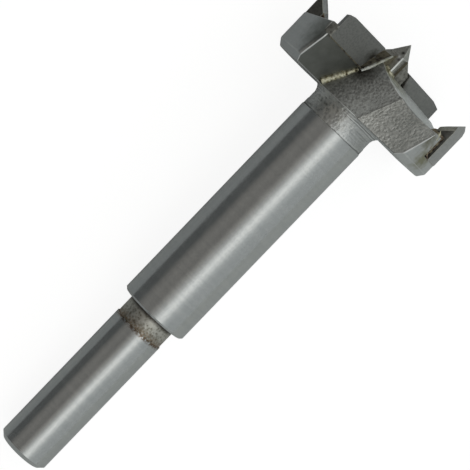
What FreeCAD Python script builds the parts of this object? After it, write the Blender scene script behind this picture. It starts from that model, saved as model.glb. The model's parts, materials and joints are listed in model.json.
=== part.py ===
# Forstner bit: a steel body with two wings, brazed carbide blades, scoring spurs and a centre point.
# The tool is drawn on its own axis, which is Z, from the shank end at zero up to the point.
# X is the line of the first cutting edge and the bit turns from X towards Y.
# A last placement lays the finished tool on its side, the way it comes to rest on a table.
import FreeCAD, Part
import math
import os
import Sketcher
from FreeCAD import Placement, Rotation, Vector

WINGS = 2
SETTLING_STEPS = 12

doc = FreeCAD.newDocument("ForstnerBit")

# The driving dimensions, in millimetres and degrees.
SIZES = [
    ("shank_diameter", "10", "ground shank"),
    ("shank_length", "30.2", "ground part of the shank"),
    ("shank_end_break", "0.8", "bevel round the shank end"),
    ("neck_diameter", "9.65", "unground band below the shoulder"),
    ("neck_length", "3.7", "length of that band"),
    ("body_diameter", "13.5", "ground body behind the head"),
    ("body_length", "44.9", "length of the ground body"),
    ("shoulder_break", "0.35", "broken edge of the shoulder"),
    ("collar_diameter", "13.3", "rough collar next to the ground body"),
    ("collar_front_diameter", "13.15", "rough collar next to the flare"),
    ("collar_length", "4.25", "rough collar from the ground body to the back of the head"),
    ("collar_step", "1.2", "first step of the collar"),
    ("flare_length", "1.4", "flare from the collar into the head"),
    ("flare_diameter", "14.8", "flare at the back of the head"),
    ("flare_radius", "2.2", "hollow curve of the flare"),
    ("spur_diameter", "35", "bore that the spurs score"),
    ("rim_clearance", "0.15", "steel rim of the wings inside the scored bore"),
    ("head_height", "12.5", "head blank, from its back face"),
    ("back_edge_width", "0.9", "broken back edge of the rim, across"),
    ("back_edge_height", "1.2", "broken back edge of the rim, along"),
    ("ridge_height", "10.35", "top of the wings above the back face, on the axis"),
    ("relief_inner_angle", "26.4", "slope of a wing top just behind its blade, past the axis"),
    ("relief_inner_radius", "31.6", "hollow of the wing top, past the axis"),
    ("relief_outer_angle", "18.3", "slope of a wing top just behind its blade, past the rim"),
    ("relief_outer_radius", "45.6", "hollow of the wing top, past the rim"),
    ("ridge_fall_angle", "2.6", "fall of the wing top towards the rim"),
    ("wall_setback", "2.05", "gullet wall behind the centre line, at the back face"),
    ("wall_rake_angle", "13.2", "forward lean of the gullet wall"),
    ("corner_reach", "8.7", "gullet corner from the centre, at the back face"),
    ("corner_lean_angle", "29.7", "lean of the gullet corner towards the axis"),
    ("heel_reach", "4.2", "foot of the heel face, along the blade line"),
    ("heel_offset", "6.2", "foot of the heel face, across the blade line"),
    ("heel_lean_angle", "24.3", "lean of the heel face away from the gullet"),
    ("heel_rise_angle", "9.3", "drift of the heel foot away from the blade line"),
    ("heel_turn_angle", "7.2", "turn of the heel face past square"),
    ("hub_radius", "9.4", "rounding of the hub between corner and heel"),
    ("cutting_height", "12.2", "inner end of the cutting edge above the back face"),
    ("blade_height", "5.4", "carbide blade along the tool"),
    ("blade_thickness", "1.3", "carbide blade through its rake face"),
    ("blade_inner_top", "4.25", "inner end of the cutting edge from the axis"),
    ("blade_inner_foot", "5.5", "inner end of the blade foot from the axis"),
    ("blade_top_inset", "0.7", "outer corner of the cutting edge inside the scored bore"),
    ("blade_foot_inset", "0.85", "outer end of the blade foot inside the scored bore"),
    ("blade_rake_angle", "3", "forward lean of the rake face"),
    ("blade_relief_angle", "15", "relief behind the cutting edge"),
    ("blade_clearance_angle", "28", "clearance behind the outer corner"),
    ("ease_length", "1.5", "eased outer end of the cutting edge"),
    ("ease_start_fall", "0.12", "fall of the cutting edge at the start of the easing"),
    ("ease_end_fall", "0.45", "fall of the cutting edge at its outer corner"),
    ("seat_inner_top", "2.4", "inner end of the blade seat at cutting height"),
    ("seat_inner_foot", "4.86", "inner end of the blade seat at its foot"),
    ("spur_depth", "2.8", "radial depth of a spur"),
    ("spur_width", "6", "spur along the rim"),
    ("spur_height", "12.05", "spur tip above the back face"),
    ("spur_foot", "3.3", "spur foot above the back face"),
    ("spur_angle", "23.2", "spur ahead of the end of the wing, round the axis"),
    ("spur_tip_inset", "0.5", "spur tip inside the scored bore"),
    ("spur_tip_lead", "0.8", "spur tip ahead of the middle of the spur"),
    ("spur_inner_slope", "42", "inner bevel below level"),
    ("spur_outer_slope", "76", "outer bevel below level"),
    ("spur_side_slope", "17", "fall of the tip ridge to each side"),
    ("spur_slot", "1.5", "braze slot behind a spur"),
    ("slot_fill", "4.7", "height of braze in that slot"),
    ("slot_recess", "0.25", "braze below the rim of the slot"),
    ("ramp_reach", "1.7", "braze ramp inside a spur, along the wing top"),
    ("ramp_height", "6.3", "top of that ramp above the spur foot"),
    ("ramp_slope", "45", "slope of that ramp"),
    ("ramp_side_slope", "12", "fall of that ramp towards the slot"),
    ("point_side", "2.8", "square section of the centre point"),
    ("point_length", "15.93", "tip of the centre point above the back face"),
    ("point_shoulder", "13.15", "start of the ground point above the back face"),
    ("point_foot", "6", "foot of the centre point above the back face"),
    ("point_turn_angle", "14", "turn of the square section from the blade line"),
    ("web_start", "0.8", "web behind the point, along the blade line from the axis"),
    ("web_reach", "3.4", "outer end of that web"),
    ("web_back", "1.7", "that web, back from the blade line"),
    ("web_front", "0.6", "that web, ahead of the blade line"),
    ("web_height", "13.2", "top of the web above the back face"),
    ("web_edge_height", "11.4", "foot of its sloping top above the back face"),
    ("ring_radius", "2.75", "ring of braze round the foot of the point"),
    ("ring_depth", "2.2", "that ring along the tool"),
    ("ring_top", "10.8", "top of that ring above the back face"),
    ("ring_slope", "60", "slope of the ring"),
    ("bead_radius", "0.62", "bead of braze in the gullet corner"),
    ("bead_start", "0.8", "foot of the bead above the back face"),
]

# Places that follow from the driving dimensions.
PLACES = [
    ("shank_radius", "Sizes.shank_diameter / 2"),
    ("shank_end_radius", "shank_radius - Sizes.shank_end_break"),
    ("neck_radius", "Sizes.neck_diameter / 2"),
    ("body_radius", "Sizes.body_diameter / 2"),
    ("shoulder_radius", "body_radius - Sizes.shoulder_break"),
    ("collar_radius", "Sizes.collar_diameter / 2"),
    ("collar_front_radius", "Sizes.collar_front_diameter / 2"),
    ("flare_end_radius", "Sizes.flare_diameter / 2"),
    ("spur_outer", "Sizes.spur_diameter / 2"),
    ("rim_radius", "spur_outer - Sizes.rim_clearance"),
    ("back_edge_radius", "rim_radius - Sizes.back_edge_width"),
    ("shoulder", "Sizes.shank_length + Sizes.neck_length"),
    ("shoulder_edge", "shoulder + Sizes.shoulder_break"),
    ("body_end", "shoulder + Sizes.body_length"),
    ("collar_step_place", "body_end + Sizes.collar_step"),
    ("back_face", "body_end + Sizes.collar_length"),
    ("flare_start", "back_face - Sizes.flare_length"),
    ("back_edge_top", "back_face + Sizes.back_edge_height"),
    ("head_top", "back_face + Sizes.head_height"),
    ("clear_above", "head_top + 5"),
    ("clear_round", "rim_radius * 1.3"),
    ("minus_clear_round", "-clear_round"),
    ("gullet_low", "back_face - 1"),
    ("gullet_high", "head_top + 1"),
    ("wall_low", "-Sizes.wall_setback + (gullet_low - back_face) * tan(Sizes.wall_rake_angle * 1 deg)"),
    ("wall_high", "-Sizes.wall_setback + (gullet_high - back_face) * tan(Sizes.wall_rake_angle * 1 deg)"),
    ("corner_low", "Sizes.corner_reach - (gullet_low - back_face) * tan(Sizes.corner_lean_angle * 1 deg)"),
    ("corner_high", "Sizes.corner_reach - (gullet_high - back_face) * tan(Sizes.corner_lean_angle * 1 deg)"),
    ("heel_x_low", "Sizes.heel_reach - (gullet_low - back_face) * tan(Sizes.heel_lean_angle * 1 deg)"),
    ("heel_x_high", "Sizes.heel_reach - (gullet_high - back_face) * tan(Sizes.heel_lean_angle * 1 deg)"),
    ("heel_y_low", "Sizes.heel_offset + (gullet_low - back_face) * tan(Sizes.heel_rise_angle * 1 deg)"),
    ("heel_y_high", "Sizes.heel_offset + (gullet_high - back_face) * tan(Sizes.heel_rise_angle * 1 deg)"),
    ("heel_drift", "clear_round * tan(Sizes.heel_turn_angle * 1 deg)"),
    ("heel_end_x_low", "heel_x_low - heel_drift"),
    ("heel_end_x_high", "heel_x_high - heel_drift"),
    ("heel_end_y_low", "heel_y_low + clear_round"),
    ("heel_end_y_high", "heel_y_high + clear_round"),
    ("relief_inner", "-rim_radius / 2"),
    ("inner_centre", "Sizes.relief_inner_radius * sin(Sizes.relief_inner_angle * 1 deg)"),
    ("inner_rise", "Sizes.relief_inner_radius * cos(Sizes.relief_inner_angle * 1 deg)"),
    ("inner_drop", "sqrt(Sizes.relief_inner_radius ^ 2 - (clear_round - inner_centre) ^ 2) - inner_rise"),
    ("outer_centre", "Sizes.relief_outer_radius * sin(Sizes.relief_outer_angle * 1 deg)"),
    ("outer_rise", "Sizes.relief_outer_radius * cos(Sizes.relief_outer_angle * 1 deg)"),
    ("outer_drop", "sqrt(Sizes.relief_outer_radius ^ 2 - (clear_round - outer_centre) ^ 2) - outer_rise"),
    ("ridge", "back_face + Sizes.ridge_height"),
    ("ridge_in", "ridge - relief_inner * tan(Sizes.ridge_fall_angle * 1 deg)"),
    ("ridge_out", "ridge - clear_round * tan(Sizes.ridge_fall_angle * 1 deg)"),
    ("relief_end_in", "ridge_in - inner_drop"),
    ("relief_end_out", "ridge_out - outer_drop"),
    ("web_low", "ridge - Sizes.web_reach"),
    ("web_edge", "back_face + Sizes.web_edge_height"),
    ("web_top", "back_face + Sizes.web_height"),
    ("edge_height", "back_face + Sizes.cutting_height"),
    ("blade_foot", "-Sizes.blade_height"),
    ("blade_drop", "-Sizes.blade_thickness * tan(Sizes.blade_relief_angle * 1 deg)"),
    ("blade_tuck", "Sizes.blade_thickness * tan(Sizes.blade_clearance_angle * 1 deg)"),
    ("blade_outer_foot", "spur_outer - Sizes.blade_foot_inset"),
    ("blade_outer_top", "spur_outer - Sizes.blade_top_inset"),
    ("blade_back_foot", "blade_outer_foot - blade_tuck"),
    ("blade_back_top", "blade_outer_top - blade_tuck"),
    ("ease_reach", "blade_outer_top - Sizes.ease_length"),
    ("ease_back_reach", "ease_reach - blade_tuck"),
    ("ease_start", "-Sizes.ease_start_fall"),
    ("ease_end", "-Sizes.ease_end_fall"),
    ("ease_start_back", "ease_start + blade_drop"),
    ("ease_end_back", "ease_end + blade_drop"),
    ("blade_back_depth", "Sizes.blade_thickness * cos(Sizes.blade_rake_angle * 1 deg)"),
    ("blade_back_height", "edge_height + Sizes.blade_thickness * sin(Sizes.blade_rake_angle * 1 deg)"),
    ("seat_slope", "(Sizes.seat_inner_foot - Sizes.seat_inner_top) / Sizes.blade_height"),
    ("seat_above", "clear_above - edge_height"),
    ("seat_inner_above", "Sizes.seat_inner_top - seat_above * seat_slope"),
    ("seat_cut", "Sizes.blade_thickness + clear_round"),
    ("spur_inner", "spur_outer - Sizes.spur_depth"),
    ("spur_half", "Sizes.spur_width / 2"),
    ("spur_edge", "sqrt(spur_outer ^ 2 - spur_half ^ 2)"),
    ("spur_minus_half", "-spur_half"),
    ("slot_edge", "-spur_half - Sizes.spur_slot"),
    ("spur_turn", "Sizes.spur_angle - 90"),
    ("spur_base", "back_face + Sizes.spur_foot"),
    ("spur_tip", "back_face + Sizes.spur_height"),
    ("spur_tip_radius", "spur_outer - Sizes.spur_tip_inset"),
    ("spur_inside", "spur_inner - 1"),
    ("spur_outside", "spur_outer + 1"),
    ("spur_inner_fall", "spur_tip - (spur_tip_radius - spur_inside) * tan(Sizes.spur_inner_slope * 1 deg)"),
    ("spur_outer_fall", "spur_tip - (spur_outside - spur_tip_radius) * tan(Sizes.spur_outer_slope * 1 deg)"),
    ("spur_behind", "spur_half + 1"),
    ("spur_ahead", "-spur_behind"),
    ("spur_ridge", "-Sizes.spur_tip_lead"),
    ("fall_behind", "(spur_behind + Sizes.spur_tip_lead) * tan(Sizes.spur_side_slope * 1 deg)"),
    ("fall_ahead", "(spur_behind - Sizes.spur_tip_lead) * tan(Sizes.spur_side_slope * 1 deg)"),
    ("tip_behind", "spur_tip - fall_behind"),
    ("tip_ahead", "spur_tip - fall_ahead"),
    ("inner_behind", "spur_inner_fall - fall_behind"),
    ("inner_ahead", "spur_inner_fall - fall_ahead"),
    ("outer_behind", "spur_outer_fall - fall_behind"),
    ("outer_ahead", "spur_outer_fall - fall_ahead"),
    ("point_base", "back_face + Sizes.point_foot"),
    ("point_shoulder_place", "back_face + Sizes.point_shoulder"),
    ("point_tip", "back_face + Sizes.point_length"),
    ("point_half", "Sizes.point_side / 2"),
    ("point_minus_half", "-point_half"),
    ("point_bar_length", "point_tip - point_base"),
    ("point_clear", "point_tip + 1"),
    ("point_far", "point_half * 2"),
    ("point_slope", "(point_tip - point_shoulder_place) / point_half"),
    ("point_low", "point_tip - point_far * point_slope"),
]

sizes = doc.addObject("Spreadsheet::Sheet", "Sizes")
for row, (alias, value, note) in enumerate(SIZES, 1):
    sizes.set(f"A{row}", alias)
    sizes.set(f"B{row}", value)
    sizes.set(f"C{row}", note)
    sizes.setAlias(f"B{row}", alias)
doc.recompute()

places = doc.addObject("Spreadsheet::Sheet", "Places")
for row, (alias, formula) in enumerate(PLACES, 1):
    places.set(f"A{row}", alias)
    places.set(f"B{row}", "=" + formula)
    places.setAlias(f"B{row}", alias)
doc.recompute()

SIZE_NAMES = {alias for alias, value, note in SIZES}


def cell(name):
    """Name of a cell, as an expression writes it."""
    return ("Sizes." if name in SIZE_NAMES else "Places.") + name


def read(name):
    """Number that a cell holds."""
    return float((sizes if name in SIZE_NAMES else places).get(name))


def origin_part(body, role):
    """Plane or axis of a body's own origin."""
    return next(part for part in body.Origin.OriginFeatures if part.Role == role)


def new_sketch(body, name, role, **offset):
    """Sketch on an origin plane. Each offset is a cell that moves or turns it."""
    sketch = body.newObject("Sketcher::SketchObject", name)
    sketch.AttachmentSupport = [(origin_part(body, role), "")]
    sketch.MapMode = "FlatFace"
    if "tilt" in offset:
        sketch.AttachmentOffset = Placement(Vector(), Rotation(Vector(1, 0, 0), 1))
        sketch.setExpression("AttachmentOffset.Rotation.Angle", "-" + cell(offset["tilt"]) + " * 1 deg")
    if "turn" in offset:
        sketch.AttachmentOffset = Placement(Vector(), Rotation(Vector(0, 0, 1), 1))
        sketch.setExpression("AttachmentOffset.Rotation.Angle", cell(offset["turn"]) + " * 1 deg")
    if "rise" in offset:
        sketch.setExpression("AttachmentOffset.Base.y", cell(offset["rise"]))
    if "lift" in offset:
        sketch.setExpression("AttachmentOffset.Base.z", cell(offset["lift"]))
    return sketch


def centre_of_arc(start, end, radius, side):
    """Centre of an arc of this radius, on the left of start to end for side 1 and on its right for -1."""
    chord = end - start
    middle = (start + end) * 0.5
    across = Vector(-chord.y, chord.x, 0).normalize()
    reach = math.sqrt(max(radius ** 2 - (chord.Length / 2) ** 2, 0))
    return middle + across * (side * reach)


def draw_outline(sketch, corners, arcs=None):
    """Closed outline through corners, each a pair of cells. An arc leaves the corner whose number it has."""
    arcs = arcs or {}
    points = [Vector(read(x) if x else 0, read(y) if y else 0, 0) for x, y in corners]
    ends = []
    for number, start in enumerate(points):
        end = points[(number + 1) % len(points)]
        if number not in arcs:
            edge = sketch.addGeometry(Part.LineSegment(start, end), False)
            ends.append((edge, 1, 2))
            continue
        radius, side = arcs[number]
        centre = centre_of_arc(start, end, read(radius), side)
        first, last = (start, end) if side > 0 else (end, start)
        from_angle = math.atan2(first.y - centre.y, first.x - centre.x)
        to_angle = math.atan2(last.y - centre.y, last.x - centre.x)
        circle = Part.Circle(centre, Vector(0, 0, 1), read(radius))
        edge = sketch.addGeometry(Part.ArcOfCircle(circle, from_angle, to_angle), False)
        ends.append((edge, 1, 2) if side > 0 else (edge, 2, 1))
    for number, (edge, start_end, far_end) in enumerate(ends):
        following = ends[(number + 1) % len(ends)]
        sketch.addConstraint(Sketcher.Constraint("Coincident", edge, far_end, following[0], following[1]))
    for (edge, start_end, far_end), (x, y), point in zip(ends, corners, points):
        place_corner(sketch, edge, start_end, "DistanceX", x, point.x)
        place_corner(sketch, edge, start_end, "DistanceY", y, point.y)
    for number, (radius, side) in arcs.items():
        size = sketch.addConstraint(Sketcher.Constraint("Radius", ends[number][0], read(radius)))
        sketch.setExpression(f"Constraints[{size}]", cell(radius))


def place_corner(sketch, edge, end, direction, name, value):
    """Tie one coordinate of a corner to its cell, or to the axis where there is no cell."""
    if name is None:
        axis = -2 if direction == "DistanceX" else -1
        sketch.addConstraint(Sketcher.Constraint("PointOnObject", edge, end, axis))
        return
    tie = sketch.addConstraint(Sketcher.Constraint(direction, -1, 1, edge, end, value))
    sketch.setExpression(f"Constraints[{tie}]", cell(name))


def round_the_axis(body, name, feature, copies):
    """Repeat a feature evenly round the tool axis."""
    pattern = body.newObject("PartDesign::PolarPattern", name)
    pattern.Originals = [feature]
    pattern.Axis = (origin_part(body, "Z_Axis"), [""])
    pattern.Angle = 360
    pattern.Occurrences = copies
    body.Tip = pattern
    doc.recompute()
    return pattern


def cut_both_ways(body, name, sketch, reach):
    """Pocket that runs the same distance to both sides of its sketch."""
    pocket = body.newObject("PartDesign::Pocket", name)
    pocket.Profile = sketch
    pocket.SideType = "Symmetric"
    pocket.setExpression("Length", cell(reach) + " * 2")
    body.Tip = pocket
    doc.recompute()
    return pocket


def turned_blank(body):
    """Shank, neck band, body, collar and head as one turned blank."""
    sketch = new_sketch(body, "turned_outline", "XZ_Plane")
    corners = [
        (None, None),
        ("shank_end_radius", None),
        ("shank_radius", "shank_end_break"),
        ("shank_radius", "shank_length"),
        ("neck_radius", "shank_length"),
        ("neck_radius", "shoulder"),
        ("shoulder_radius", "shoulder"),
        ("body_radius", "shoulder_edge"),
        ("body_radius", "body_end"),
        ("collar_radius", "body_end"),
        ("collar_radius", "collar_step_place"),
        ("collar_front_radius", "collar_step_place"),
        ("collar_front_radius", "flare_start"),
        ("flare_end_radius", "back_face"),
        ("back_edge_radius", "back_face"),
        ("rim_radius", "back_edge_top"),
        ("rim_radius", "head_top"),
        (None, "head_top"),
    ]
    draw_outline(sketch, corners, {12: ("flare_radius", -1)})
    blank = body.newObject("PartDesign::Revolution", "turned_blank")
    blank.Profile = sketch
    blank.ReferenceAxis = (sketch, ["V_Axis"])
    blank.Angle = 360
    body.Tip = blank
    doc.recompute()


def wing_tops(body):
    """Hollow-ground relief that falls away behind each blade and towards the rim."""
    outlines = []
    for name, lift, ridge, end in (("relief_inner", "relief_inner", "ridge_in", "relief_end_in"),
                                   ("relief_outer", "clear_round", "ridge_out", "relief_end_out")):
        sketch = new_sketch(body, name + "_outline", "YZ_Plane", lift=lift)
        corners = [(None, ridge), ("minus_clear_round", end),
                   ("minus_clear_round", "clear_above"), (None, "clear_above")]
        draw_outline(sketch, corners, {0: (name + "_radius", -1)})
        outlines.append(sketch)
    relief = body.newObject("PartDesign::SubtractiveLoft", "wing_relief")
    relief.Profile = outlines[0]
    relief.Sections = [outlines[1]]
    relief.Ruled = True
    body.Tip = relief
    doc.recompute()
    round_the_axis(body, "wing_reliefs", relief, WINGS)


def point_web(body):
    """Webs that carry the centre point above the wing tops, one behind each blade."""
    sketch = new_sketch(body, "web_outline", "XZ_Plane")
    draw_outline(sketch, [("web_start", "web_low"), ("web_reach", "web_low"), ("web_reach", "web_edge"),
                          ("web_start", "web_top")])
    web = body.newObject("PartDesign::Pad", "point_web")
    web.Profile = sketch
    web.SideType = "Two sides"
    web.setExpression("Length", cell("web_back"))
    web.setExpression("Length2", cell("web_front"))
    body.Tip = web
    doc.recompute()
    round_the_axis(body, "point_webs", web, WINGS)


def gullets(body):
    """Chip gullets: a raked wall, a leaning round hub and a heel face that leans back."""
    outlines = []
    for level in ("low", "high"):
        sketch = new_sketch(body, "gullet_" + level + "_outline", "XY_Plane", lift="gullet_" + level)
        corners = [("clear_round", "wall_" + level), ("corner_" + level, "wall_" + level),
                   ("heel_x_" + level, "heel_y_" + level), ("heel_end_x_" + level, "heel_end_y_" + level),
                   ("clear_round", "heel_end_y_" + level)]
        draw_outline(sketch, corners, {1: ("hub_radius", 1)})
        outlines.append(sketch)
    gullet = body.newObject("PartDesign::SubtractiveLoft", "gullet")
    gullet.Profile = outlines[0]
    gullet.Sections = [outlines[1]]
    gullet.Ruled = True
    body.Tip = gullet
    doc.recompute()
    round_the_axis(body, "gullets", gullet, WINGS)


def blade_seats(body):
    """Seats milled into the leading face of each wing, as deep as a blade is thick."""
    sketch = new_sketch(body, "seat_outline", "XZ_Plane", tilt="blade_rake_angle",
                        rise="blade_back_height", lift="blade_back_depth")
    corners = [("seat_inner_foot", "blade_foot"), ("clear_round", "blade_foot"),
               ("clear_round", "seat_above"), ("seat_inner_above", "seat_above")]
    draw_outline(sketch, corners)
    seat = body.newObject("PartDesign::Pocket", "blade_seat")
    seat.Profile = sketch
    seat.setExpression("Length", cell("seat_cut"))
    body.Tip = seat
    doc.recompute()
    round_the_axis(body, "blade_seats", seat, WINGS)


def spur_pockets(body):
    """Pockets in the rim for the spurs, with a slot for braze behind each."""
    sketch = new_sketch(body, "spur_pocket_outline", "XY_Plane", lift="spur_base", turn="spur_turn")
    corners = [("spur_inner", "slot_edge"), ("clear_round", "slot_edge"),
               ("clear_round", "spur_half"), ("spur_inner", "spur_half")]
    draw_outline(sketch, corners)
    pocket = body.newObject("PartDesign::Pocket", "spur_pocket")
    pocket.Profile = sketch
    pocket.Reversed = True
    pocket.setExpression("Length", "Places.clear_above - Places.spur_base")
    body.Tip = pocket
    doc.recompute()
    round_the_axis(body, "spur_pockets", pocket, WINGS)


def point_socket(body):
    """Square hole on the axis for the foot of the centre point."""
    sketch = new_sketch(body, "socket_outline", "XY_Plane", lift="point_base", turn="point_turn_angle")
    draw_outline(sketch, square("point"))
    socket = body.newObject("PartDesign::Pocket", "point_socket")
    socket.Profile = sketch
    socket.Reversed = True
    socket.setExpression("Length", "Places.clear_above - Places.point_base")
    body.Tip = socket
    doc.recompute()


def square(name):
    """Corners of a square on the axis."""
    low, high = name + "_minus_half", name + "_half"
    return [(low, low), (high, low), (high, high), (low, high)]


def steel_body():
    """The forged, turned and milled steel body."""
    body = doc.addObject("PartDesign::Body", "steel_body")
    turned_blank(body)
    wing_tops(body)
    point_web(body)
    gullets(body)
    blade_seats(body)
    spur_pockets(body)
    point_socket(body)
    return body


def cutting_blade(name):
    """Flat carbide blade with its top relief and its end clearance."""
    body = doc.addObject("PartDesign::Body", name)
    rake_face = new_sketch(body, "rake_face", "XZ_Plane", tilt="blade_rake_angle", rise="edge_height")
    draw_outline(rake_face, [("blade_inner_foot", "blade_foot"), ("blade_outer_foot", "blade_foot"),
                             ("blade_outer_top", "ease_end"), ("ease_reach", "ease_start"),
                             ("blade_inner_top", None)])
    back_face = new_sketch(body, "back_face", "XZ_Plane", tilt="blade_rake_angle",
                           rise="blade_back_height", lift="blade_back_depth")
    draw_outline(back_face, [("blade_inner_foot", "blade_foot"), ("blade_back_foot", "blade_foot"),
                             ("blade_back_top", "ease_end_back"), ("ease_back_reach", "ease_start_back"),
                             ("blade_inner_top", "blade_drop")])
    plate = body.newObject("PartDesign::AdditiveLoft", "blade_plate")
    plate.Profile = rake_face
    plate.Sections = [back_face]
    plate.Ruled = True
    body.Tip = plate
    doc.recompute()
    return body


def scoring_spur(name):
    """Carbide spur: a block with a round outer face, ground to a tip near the scored bore."""
    body = doc.addObject("PartDesign::Body", name)
    sketch = new_sketch(body, "spur_outline", "XY_Plane", lift="spur_base")
    draw_outline(sketch, [("spur_inner", "spur_minus_half"), ("spur_edge", "spur_minus_half"),
                          ("spur_edge", "spur_half"), ("spur_inner", "spur_half")], {1: ("spur_outer", 1)})
    block = body.newObject("PartDesign::Pad", "spur_block")
    block.Profile = sketch
    block.setExpression("Length", "Places.spur_tip - Places.spur_base")
    body.Tip = block
    doc.recompute()
    outlines = []
    for lift, inner, tip, outer in (("spur_behind", "inner_behind", "tip_behind", "outer_behind"),
                                    ("spur_ridge", "spur_inner_fall", "spur_tip", "spur_outer_fall"),
                                    ("spur_ahead", "inner_ahead", "tip_ahead", "outer_ahead")):
        bevels = new_sketch(body, lift + "_outline", "XZ_Plane", lift=lift)
        draw_outline(bevels, [("spur_inside", inner), ("spur_tip_radius", tip), ("spur_outside", outer),
                              ("spur_outside", "clear_above"), ("spur_inside", "clear_above")])
        outlines.append(bevels)
    tip_cut = body.newObject("PartDesign::SubtractiveLoft", "tip_bevels")
    tip_cut.Profile = outlines[0]
    tip_cut.Sections = outlines[1:]
    tip_cut.Ruled = True
    body.Tip = tip_cut
    doc.recompute()
    return body


def centre_point():
    """Square carbide bar with four ground facets."""
    body = doc.addObject("PartDesign::Body", "centre_point")
    sketch = new_sketch(body, "bar_outline", "XY_Plane", lift="point_base")
    draw_outline(sketch, square("point"))
    bar = body.newObject("PartDesign::Pad", "point_bar")
    bar.Profile = sketch
    bar.setExpression("Length", cell("point_bar_length"))
    body.Tip = bar
    doc.recompute()
    facet = new_sketch(body, "facet_outline", "XZ_Plane")
    draw_outline(facet, [(None, "point_tip"), ("point_far", "point_low"), ("point_far", "point_clear"),
                         (None, "point_clear")])
    cut = cut_both_ways(body, "point_facet", facet, "point_far")
    round_the_axis(body, "point_facets", cut, 4)
    return body


def bead_in_corner():
    """Bead of braze along the gullet corner, from the back face to the foot of the blade."""
    ends = []
    for height in (read("bead_start"), read("cutting_height") - read("blade_height") + read("bead_radius")):
        lean = height * math.tan(math.radians(read("corner_lean_angle")))
        rake = height * math.tan(math.radians(read("wall_rake_angle")))
        corner = Vector(read("corner_reach") - lean, rake - read("wall_setback"), read("back_face") + height)
        ends.append(corner)
    run = ends[1] - ends[0]
    return Part.makeCylinder(read("bead_radius"), run.Length, ends[0], run)


def spur_filler():
    """Braze in the slot behind a spur and in a ramp along its inner face."""
    inner = read("spur_inner")
    base = read("spur_base")
    low = read("slot_edge")
    high = read("spur_half")
    slot = Part.makeBox(read("spur_depth"), read("spur_slot"), read("slot_fill"), Vector(inner, low, base))
    face = Part.makeCylinder(read("rim_radius") - read("slot_recess"), read("slot_fill"), Vector(0, 0, base))
    top = base + read("ramp_height")
    fall = (high - low) * math.tan(math.radians(read("ramp_side_slope")))
    drop = read("ramp_reach") * math.tan(math.radians(read("ramp_slope")))
    outlines = []
    for across, crest in ((low, top - fall), (high, top)):
        corners = [(inner, base), (inner, crest), (inner - read("ramp_reach"), crest - drop),
                   (inner - read("ramp_reach"), base)]
        points = [Vector(out, across, up) for out, up in corners]
        outlines.append(Part.makePolygon(points + points[:1]))
    filler = slot.common(face).fuse(Part.makeLoft(outlines, True, True))
    filler.rotate(Vector(), Vector(0, 0, 1), read("spur_turn"))
    return filler


def point_filler():
    """Half ring of braze at the foot of the centre point, on one side of the web."""
    height = read("ring_depth")
    narrow = read("ring_radius") - height / math.tan(math.radians(read("ring_slope")))
    low = read("back_face") + read("ring_top") - height
    return Part.makeCone(read("ring_radius"), narrow, height, Vector(0, 0, low), Vector(0, 0, 1), 180)


def rest_rotation():
    """Turn that lays the tool down on its shank end and on the two edges of its lower gullet."""
    rim = read("rim_radius")
    foot = read("cutting_height") - read("blade_height") * math.cos(math.radians(read("blade_rake_angle")))
    wall = foot * math.tan(math.radians(read("wall_rake_angle"))) - read("wall_setback")
    leading = Vector(-math.sqrt(rim ** 2 - wall ** 2), -wall, read("back_face") + foot)
    height = read("back_edge_height")
    turn = math.tan(math.radians(read("heel_turn_angle")))
    lean = height * math.tan(math.radians(read("heel_lean_angle")))
    rise = height * math.tan(math.radians(read("heel_rise_angle")))
    start = Vector(read("heel_reach") - lean, read("heel_offset") + rise, 0)
    along = Vector(-turn, 1, 0).normalize()
    middle = start.dot(along)
    run = math.sqrt(middle ** 2 - start.Length ** 2 + rim ** 2) - middle
    trailing = (start + along * run) * -1
    trailing.z = read("back_edge_top")
    down = Vector(leading.x + trailing.x, leading.y + trailing.y, 0).normalize()
    for _ in range(SETTLING_STEPS):
        level = Vector(down.x, down.y, 0).normalize()
        heel = level * read("shank_radius") + Vector(0, 0, read("shank_end_break"))
        down = (leading - heel).cross(trailing - heel).normalize()
        if down.dot(level) < 0:
            down = down * -1
    up = down * -1
    axis = Vector(0, 0, 1)
    forward = (axis - up * axis.dot(up)).normalize()
    return Rotation(forward, up.cross(forward), up, "ZXY").inverted()


def round_placement(number, angle):
    """Place of one of the repeated pieces, turned round the tool axis from the blade line."""
    return Placement(Vector(), Rotation(Vector(0, 0, 1), angle + 360 / WINGS * number))


def add_filler(name, shape, place, carbide):
    """Braze as its own piece: what the shape leaves outside the steel and outside one carbide piece."""
    placed = shape.copy()
    placed.Placement = place.multiply(shape.Placement)
    held = carbide.Tip.Shape.copy()
    held.Placement = pieces[carbide].multiply(held.Placement)
    feature = doc.addObject("Part::Feature", name)
    feature.Shape = placed.cut([steel.Tip.Shape, held])
    pieces[feature] = Placement()


steel = steel_body()
point = centre_point()
pieces = {steel: Placement(), point: Placement(Vector(), Rotation(Vector(0, 0, 1), read("point_turn_angle")))}
for number in range(WINGS):
    blade = cutting_blade(f"cutting_blade_{number + 1}")
    spur = scoring_spur(f"scoring_spur_{number + 1}")
    pieces[blade] = round_placement(number, 0)
    pieces[spur] = round_placement(number, read("spur_turn"))
    add_filler(f"blade_braze_{number + 1}", bead_in_corner(), round_placement(number, 0), blade)
    add_filler(f"spur_braze_{number + 1}", spur_filler(), round_placement(number, 0), spur)
    add_filler(f"point_braze_{number + 1}", point_filler(), round_placement(number, 0), point)

# The tool lies with its head along X, and the origin is under the middle of its box.
laid = Placement(Vector(), rest_rotation())
for piece, place in pieces.items():
    piece.Placement = laid.multiply(place)
doc.recompute()
whole = Part.makeCompound([piece.Shape for piece in pieces]).optimalBoundingBox(False)
middle = Vector(whole.Center.x, whole.Center.y, whole.ZMin)
for piece in pieces:
    piece.Placement = Placement(middle * -1, Rotation()).multiply(piece.Placement)
doc.recompute()

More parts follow.
